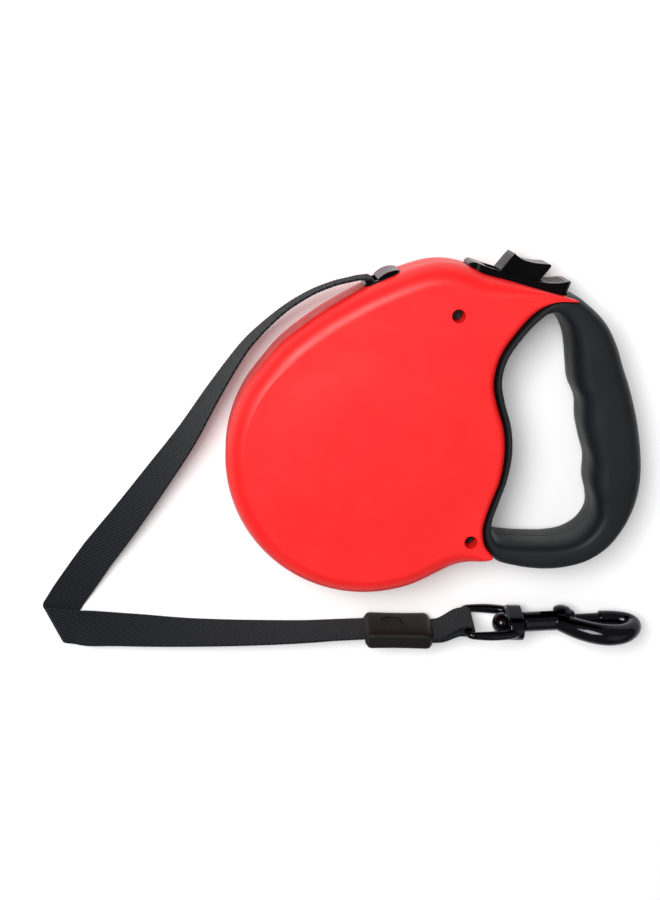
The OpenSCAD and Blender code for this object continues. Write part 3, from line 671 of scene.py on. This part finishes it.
def hollow(form):
    """Cuts the room for the reel, the brake and the webbing out of a half."""
    room = join(
        turning([(54.2, MID_Z - 1), (54.2, MID_Z + 9.5), (48, ROOF_Z)], 128),
        prism(ROOM, MID_Z - 1, MID_Z + 11.5),
        prism(HIGH_ROOM, MID_Z + 11.4, ROOF_Z - 0.8),
    )
    return cut(form, room)


def frame_seat():
    """Pocket for the frame round the brake button."""
    return plan(-3.45, 42.1, 20.1, 5.1, -1.2, 9, SLOPE)


def button_room():
    """Space under that frame, which the button moves in."""
    return box(-22.4, 7.8, -6.9, 0, 9.1, 26.9, SLOPE)


def edge_pockets():
    """Everything that opens the case's edge: frame, button, pawl and guide."""
    return [
        frame_seat(),
        button_room(),
        box(-16.2, -5.6, -12.4, -4.8, MID_Z, 30.9, SLOPE),
        box(-6, 5.4, -7, 3, 9.1, 26.9, GUIDE),
        plan(-0.55, 15.5, 19.5, 4.05, -0.6, 4, GUIDE),
        box(-8, -4.6, -1.4, 0, 9.8, 26.2, GUIDE),
    ]


def make_case_front():
    """The front half, with posts, screw wells, the axle's seat and the edge's openings."""
    shell = hollow(half_form())
    posts = [disc(x, y, POST_R, POST_R, MID_Z + 0.1, MID_Z + 16) for x, y in SCREWS]
    join(shell, disc(0, 0, 8.4, 8.4, 31.95, ROOF_Z + 1), *posts)
    cut(shell, *edge_pockets())
    wells = []
    for x, y in SCREWS:
        where = Matrix.Translation((x, y, 0))
        wells.append(turning([
            (1.6, 10), (1.6, 26), (WELL_R, 26), (WELL_R, NECK_Z - 1.5), (WELL_R, NECK_Z - 0.5),
            (WELL_R + 0.12, NECK_Z - 0.2), (WELL_R + 0.35, NECK_Z + 0.02), (WELL_R + 0.9, NECK_Z + 0.5),
            (WELL_R + 0.9, CASE_T + 3),
        ], 40, where))
    cut(shell, disc(0, 0, AXLE_SEAT_R, AXLE_SEAT_R, 31, 34.7), *wells)
    return shell


def make_case_back():
    """The front half's mirror image, with its own posts, spring seat and screw holes."""
    shell = hollow(half_form())
    for vertex in shell.data.vertices:
        vertex.co.z = CASE_T * MM - vertex.co.z
    outward(shell)
    posts = [disc(x, y, POST_R, POST_R, 2, MID_Z - 0.1) for x, y in SCREWS]
    ribs = [box(-11, -3, -22, -20.2, 2, MID_Z - 0.1, SLOPE), box(-7.8, -6.2, -26, -22, 2, 16, SLOPE)]
    join(shell, *posts, *ribs)
    cut(shell, *edge_pockets())
    holes = [disc(x, y, 1.55, 1.55, 5.5, 25) for x, y in SCREWS]
    return cut(shell, disc(0, 0, AXLE_SEAT_R, AXLE_SEAT_R, 1.35, 4.4), *holes)


# ---- grip ----
# Matching points of the ring: outer x, y, then inner x, y
RING = [
    (70, 66.6, 69, 60.3), (79, 68, 72.5, 60), (86.5, 63.6, 76, 57), (93.5, 57, 78.6, 52),
    (98.5, 48.5, 80, 46), (102, 39.5, 81, 39), (105.5, 31, 82.3, 32), (108.3, 22.5, 85.8, 24.5),
    (110.6, 14, 86.8, 16), (112.3, 5, 89, 8), (113.2, -4, 91.6, 0), (112.9, -12, 92, -9),
    (111, -20, 94, -16), (107.3, -28, 94.6, -22.5), (101.5, -36, 91.5, -28.5), (93.5, -41.8, 85.5, -32.5),
    (84, -44.8, 78, -34), (74, -45.7, 70, -34.2), (63.5, -44.5, 62, -34), (54.4, -41.8, 55.5, -33),
    (49.5, -34.5, 52.5, -29.5), (48.4, -27, 52.2, -24.5), (50.9, -17, 54.7, -15.5), (54.1, -7, 57.3, -6),
    (55.2, 4, 58.5, 4), (54.1, 14.5, 57.4, 14.5), (50.8, 24, 54.2, 24.5), (48.9, 33, 52.4, 33.5),
    (50.8, 43.5, 54.2, 42.3), (56.8, 53.4, 59.7, 51.2), (63.7, 61.5, 65.2, 57.5),
]


def arch_point(station, a, inset, low):
    """A point of the grip's arched section, from its outer foot (0) to its inner foot (pi)."""
    o, q = Vector(station[:2]), Vector(station[2:])
    middle, half = (o + q) / 2, (o - q).length / 2
    power = 0.6
    wide = max(half - inset, 0.3) * (1 if cos(a) > 0 else -1) * abs(cos(a)) ** power
    p = middle + (o - q).normalized() * wide
    return (p.x, p.y, MID_Z + low + (GRIP_T / 2 - inset - low) * max(sin(a), 0.0) ** power)


def make_grip_half(front):
    """Half of the soft ring: an arched shell 2.6 mm thick, cut away where the case and the button sit."""
    wall, foot = 2.6, 0.02
    steps = 28
    angles = [pi * (0.5 - 0.5 * cos(pi * i / steps)) for i in range(steps + 1)]
    rings = []
    for station in spline(RING, 6, closed=True):
        outer = [arch_point(station, a, 0.0, 0.28) for a in angles]
        first, last = arch_point(station, 0.0, 0.3, foot), arch_point(station, pi, 0.3, foot)
        inner = [arch_point(station, a, wall, foot) for a in reversed(angles)]
        rings.append([first] + outer + [last] + inner)
    grip = skin("grip", rings, loop=True)
    edge = [(x - ix * 0.06, y - iy * 0.06) for (x, y, _), (ix, iy) in zip(CASE_LOOP, CASE_IN)]
    cut(grip, prism(edge, MID_Z - 2, CASE_T + 2), frame_seat(), button_room())
    if not front:
        for vertex in grip.data.vertices:
            vertex.co.z = CASE_T * MM - vertex.co.z
        outward(grip)
    return grip


# ---- guide, bezel and button ----
def make_guide():
    """Slim oval plate with a domed cap; the webbing leaves by the narrow mouth over the rolled lip."""
    plate = plan(-0.55, 15.4, 19.4, 4, -0.55, 1.15, GUIDE)
    soften(plate, 0.6, 40, 4)
    cap = plan(-0.5, 14.6, 18.6, 3.6, 0, 4, GUIDE)
    keep(cap, disc(2.2, -7.4, 10, 10, MID_Z - 10, MID_Z + 10, 96, GUIDE), box(-2.3, 8, 0, 4, 8, 28, GUIDE))
    soften(cap, 0.7, 40, 4)
    stem = box(-5.95, 5.35, -5, -0.5, 9.15, 26.85, GUIDE)
    lip = disc(LIP_T, LIP_N, LIP_R, LIP_R, MID_Z - 7.2, MID_Z + 7.2, 40, GUIDE)
    join(plate, cap, stem, lip)
    mouth = box(LIP_T + LIP_R + 0.03, -2.3, -6, 3, 10.2, 25.8, GUIDE)
    throat = box(-2.4, 4.2, -6, -0.5, 10.2, 25.8, GUIDE)
    cut(plate, mouth, throat)
    return soften(plate, 0.18, 50, 2)


# Side view of the frame, with the high tip over the case's tail on its right
BEZEL = [
    (-24.4, -1.1), (15.4, -1.1), (17.5, 5.3), (16.4, 5.9), (11, 3.9), (6, 2.9),
    (-2, 2.7), (-14, 2.7), (-19, 3), (-22.6, 3.2), (-24.3, 2.2),
]


def make_bezel():
    """Frame round the brake button, ribbed on the steep end, with the button's slot through it."""
    top = spline(BEZEL[2:], 4)
    bezel = prism(BEZEL[:2] + top, 7, 29, SLOPE)
    keep(bezel, plan(-3.45, 41.9, 19.9, 5, -2, 8, SLOPE))
    soften(bezel, 0.55, 40, 4)
    ribs = [box(8 + 1.2 * i, 8.5 + 1.2 * i, 2.85 + 0.38 * i, 8, 11, 25, SLOPE) for i in range(6)]
    cut(bezel, box(-17.6, 6.6, -2, 8, 10.1, 25.9, SLOPE), *ribs)
    return soften(bezel, 0.15, 50, 2)


# Thumb block: up its right side, across the scooped top and down the steep left face
CROWN = [
    (4.7, 3.2), (6.2, 6.4), (7.4, 9.4), (6.6, 10.1), (3, 9.4), (-1, 9), (-4.6, 9.2), (-7.2, 10.1),
    (-8.3, 10), (-11.5, 3),
]
FACE_LEAN = Matrix.Rotation(radians(65.4), 4, "Z")


def make_thumb():
    """Brake button: scooped thumb block with grooves up its steep face, on a flat runner."""
    block = prism([(-11.5, -2), (4.7, -2)] + spline(CROWN, 4), 10.5, 25.5, SLOPE)
    soften(block, 0.5, 40, 4)
    grooves = []
    for i in range(5):
        where = SLOPE @ Matrix.Translation((-11.5, 3, 11.6 + 3.03 * i)) @ FACE_LEAN
        grooves.append(box(0.8, 7, -0.4, 1.2, 0, 0.7, where))
    cut(block, *grooves)
    join(block, box(-18, 7.4, -3, -1.8, 9.4, 26.6, SLOPE))
    cut(block, box(-6, 2.9, -4, 1.2, 16.4, 19.6, SLOPE), box(-6, 2.9, 1, 3.5, 14.4, 21.6, SLOPE))
    return soften(block, 0.14, 50, 2)


# ---- keeper and clip ----
KEEPER_X = 4
KEEPER_L, KEEPER_W, KEEPER_T = 28.5, 18.6, 8.0


def squared(c, power):
    """A cosine or sine drawn towards its ends, for a boxy oval."""
    return (1 if c > 0 else -1) * abs(c) ** power


def make_keeper():
    """Moulded block with crowned faces and a plain ring mark; the webbing passes through it."""
    rings = []
    steps, sides = 24, 56
    for i in range(steps + 1):
        x = KEEPER_L * i / steps
        near = min(x, KEEPER_L - x)
        ease = 1 - max(0.0, 1 - near / 2.2) ** 2
        waist = 1 - 0.05 * sin(pi * i / steps)
        inset = 1.7 * (1 - ease)
        w = KEEPER_W / 2 * waist - inset
        t = KEEPER_T / 2 - inset
        ring = []
        for j in range(sides):
            a = 2 * pi * (j + 0.5) / sides
            ring.append((KEEPER_X + x, t * squared(cos(a), 0.34), w * squared(sin(a), 0.34)))
        rings.append(ring)
    keeper = skin("keeper", rings, where=END)
    mark = END @ Matrix.Translation((KEEPER_X + KEEPER_L / 2 - 3, 0, 0)) @ ALONG_Y
    low, high = KEEPER_T / 2 - 0.45, KEEPER_T / 2 + 0.3
    groove = turning([(4.45, low), (4.9, low), (5.2, high), (4.15, high)], 64, mark)
    half_w = TAPE_W / 2 + 0.25
    slot = box(KEEPER_X - 1, KEEPER_X + KEEPER_L + 1, -1.6, 1.6, -half_w, half_w, END)
    return cut(keeper, groove, slot)


def swept(points, sides, where, loop=False):
    """A round bar through (x, z, radius) points of the local XZ plane."""
    n = len(points)
    rings = []
    for i, (x, z, r) in enumerate(points):
        a = points[i - 1] if loop or i > 0 else points[0]
        b = points[(i + 1) % n] if loop or i < n - 1 else points[-1]
        size = hypot(b[0] - a[0], b[1] - a[1])
        tx, tz = (b[0] - a[0]) / size, (b[1] - a[1]) / size
        turns = [2 * pi * j / sides for j in range(sides)]
        rings.append([(x - tz * r * cos(a), r * sin(a), z + tx * r * cos(a)) for a in turns])
    return skin("bar", rings, loop=loop, where=where)


def corner(x, z, r, a0, a1, bar):
    """Five points of a bent corner of a bar."""
    turns = [radians(a0 + (a1 - a0) * i / 4) for i in range(5)]
    return [(x + r * cos(a), z + r * sin(a), bar) for a in turns]


def make_eye():
    """Eye of bent bar with its collar, bored for the rivet."""
    half, bend, side = 10.3, 2.0, 2.0
    line = [(BAR_X, -5, BAR_R), (BAR_X, 0, BAR_R), (BAR_X, 5, BAR_R)]
    line += corner(BAR_X + bend, half - bend, bend, 180, 90, BAR_R)
    line += [(57, half, side), (65, half - 1.2, side), (68.6, 6.6, side), (68.8, 0, side)]
    line += [(68.6, -6.6, side), (65, 1.2 - half, side), (57, -half, side)]
    line += corner(BAR_X + bend, bend - half, bend, 270, 180, BAR_R)
    at_eye = END @ Matrix.Translation((0, EYE_Y, 0))
    eye = swept(spline(line, 3, closed=True), 24, at_eye, loop=True)
    for x, w, h in ((64.3, 9, 15.6), (65.1, 10.6, 18.6)):
        join(eye, prism(stadium(h, w, w / 2 - 0.05), x, 71.2, at_eye @ ALONG_X))
    melt(eye, 0.3, 5)
    return cut(eye, disc(0, 0, 2.62, 2.62, 60, 80, 40, CLIP @ ALONG_X))


def make_rivet():
    """Domed rivet that the hook turns on."""
    profile = [
        (0.3, 58.6), (1.6, 58.75), (2.8, 59.3), (3.7, 60.1), (4.25, 61), (4.5, 62.1), (4.5, 63.2),
        (4.3, 63.7), (2.55, 63.8), (2.55, 74.2), (2.2, 74.6),
    ]
    return turning(profile, 56, CLIP @ ALONG_X)


KNOB_X, KNOB_R = 89.0, 4
AT_KNOB = CLIP @ Matrix.Translation((KNOB_X, 0, 0)) @ ALONG_Y
# Middle line of the hook's bow with its radius, from the barrel round to the tip that meets the bolt
BOW = [
    (86, 0.6, 3), (90, 3.4, 3.9), (95, 7.4, 4.4), (101, 10.9, 4.6), (107, 12.6, 4.6), (113, 12.2, 4.3),
    (117.6, 9.4, 3.9), (119.6, 5.9, 3.5), (118.2, 2.9, 3.4), (114.8, 1.1, 3.3), (110.5, 0.3, 3.3),
    (106, 0, 3.3),
]


def make_hook():
    """Barrel and bow in one casting, bored for the rivet and the bolt and slotted for the knob."""
    barrel = [(3.2, 72), (BARREL_R, 72.2), (BARREL_R, 94.4), (3.1, 95)]
    hook = turning(barrel, 40, CLIP @ ALONG_X)
    join(hook, swept(spline(BOW, 5), 24, CLIP))
    melt(hook, 0.3, 4)
    cut(
        hook,
        disc(0, 0, 2.6, 2.6, 70, 74.9, 32, CLIP @ ALONG_X),
        disc(0, 0, BOLT_R + 0.06, BOLT_R + 0.06, 75.4, 108.4, 32, CLIP @ ALONG_X),
        box(KNOB_X - 9.6, KNOB_X + 1.2, 0, 8, -1.2, 1.2, CLIP),
    )
    return hook


def make_knob():
    """Thumb knob with a domed cap, and the pin that sits in the bolt."""
    top = BARREL_R + 2.35
    ball = 7.05
    turns = [radians(a) for a in range(0, 34, 4)]
    cap = [(max(ball * sin(a), 0.2), top - ball * (1 - cos(a))) for a in turns]
    cap += [(KNOB_R - 0.04, top - 1.3), (KNOB_R, top - 1.55)]
    cap += [(KNOB_R, BARREL_R + 0.6), (KNOB_R - 0.25, BARREL_R + 0.35)]
    profile = [(1.0, -0.8), (1.05, -0.7), (1.05, BARREL_R + 0.35)] + list(reversed(cap))
    return turning(profile, 48, AT_KNOB)


def make_bolt():
    """Sliding bolt, drilled for the knob's pin."""
    profile = [(1.2, KNOB_X - 1.6), (BOLT_R, KNOB_X - 1.3), (BOLT_R, 107.2), (1.1, 107.75)]
    bolt = turning(profile, 32, CLIP @ ALONG_X)
    return weld(cut(bolt, disc(0, 0, 1.07, 1.07, -0.9, 3.1, 24, AT_KNOB)))


# ---- everything put together ----
tape, route, tape_length = make_tape()
finish_piece(tape, "webbing_strap", WEBBING, "case", ["tape"], angle=80)

finish_piece(make_case_front(), "case_front_cover", CASE_RED, "case", ["front_shell"])
finish_piece(make_case_back(), "case_back_cover", CASE_RED, "case", ["back_shell"])
finish_piece(make_grip_half(True), "grip_front_skin", GRIP_BLACK, "case", ["grip_front"])
finish_piece(make_grip_half(False), "grip_back_skin", GRIP_BLACK, "case", ["grip_back"])
finish_piece(make_guide(), "webbing_guide", TRIM_BLACK, "case", ["tape_guide"])
finish_piece(make_bezel(), "button_frame", TRIM_BLACK, "case", ["button_bezel"])
finish_piece(make_thumb(), "brake_button", TRIM_BLACK, "thumb", ["thumb_button"])
keeper = finish_piece(make_keeper(), "webbing_keeper", KEEPER_BLACK, "case", ["keeper"])
eye = finish_piece(make_eye(), "clip_eye", BLACK_NICKEL, "eye", ["swivel_eye"])
rivet = finish_piece(make_rivet(), "clip_rivet", BLACK_NICKEL, "hook", ["swivel_rivet"])
hook = finish_piece(make_hook(), "clip_hook", BLACK_NICKEL, "hook", ["hook_body"])
knob = finish_piece(make_knob(), "clip_knob", BLACK_NICKEL, "bolt", ["bolt_knob"])
bolt = finish_piece(make_bolt(), "clip_bolt", BLACK_NICKEL, "bolt", ["snap_bolt"])

CARRIED = {
    "handle_core": CORE_RED, "case_screws": DARK_STEEL, "axle": STEEL, "thrust_washers": REEL_WHITE,
    "reel_drum": REEL_WHITE, "spring_cover": STEEL, "power_spring": STEEL, "tape_anchor_pin": STEEL,
    "brake_pawl": STEEL, "brake_spring": STEEL, "bolt_spring": STEEL,
}
for name, material in [*CARRIED.items(), ("tape_winding", WOUND), ("tape_inner_run", WOUND)]:
    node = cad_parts[name]
    node.data.materials.clear()
    node.data.materials.append(material)


# ---- floor and light ----
def make_floor():
    """A white floor just under the lowest point of the part."""
    low = cad_box[0][2] / MM
    far = 3000
    corners = ((-far, -far), (far, -far), (far, far), (-far, far))
    floor = thing("floor", [(x, y, low - 0.02) for x, y in corners], [(0, 1, 2, 3)])
    paint = Paint("floor_white", Roughness=0.9, Emission_Color=(1, 1, 1, 1), Emission_Strength=0.1)
    paint.colour(paint.blend(paint.noise(3, 2), (0.9, 0.9, 0.9), (0.93, 0.93, 0.93)))
    floor.data.materials.append(paint.material)


def make_light(name, power, size, place, aim=(-10, 0, 0)):
    data = bpy.data.lights.new(name, "AREA")
    data.energy = power
    data.size = size
    lamp = bpy.data.objects.new(name, data)
    bpy.context.scene.collection.objects.link(lamp)
    lamp.location = Vector(place) * MM
    lamp.rotation_euler = (Vector(aim) * MM - lamp.location).to_track_quat("-Z", "Y").to_euler()


make_floor()
make_light("key", 12.2, 0.5, (-330, 330, 980))
make_light("fill", 0.8, 0.7, (500, -300, 800))

world = bpy.data.worlds.new("studio")
world.use_nodes = True
world.node_tree.nodes["Background"].inputs["Color"].default_value = (1, 1, 1, 1)
world.node_tree.nodes["Background"].inputs["Strength"].default_value = 0.28
bpy.context.scene.world = world
bpy.context.scene.view_settings.view_transform = "Standard"
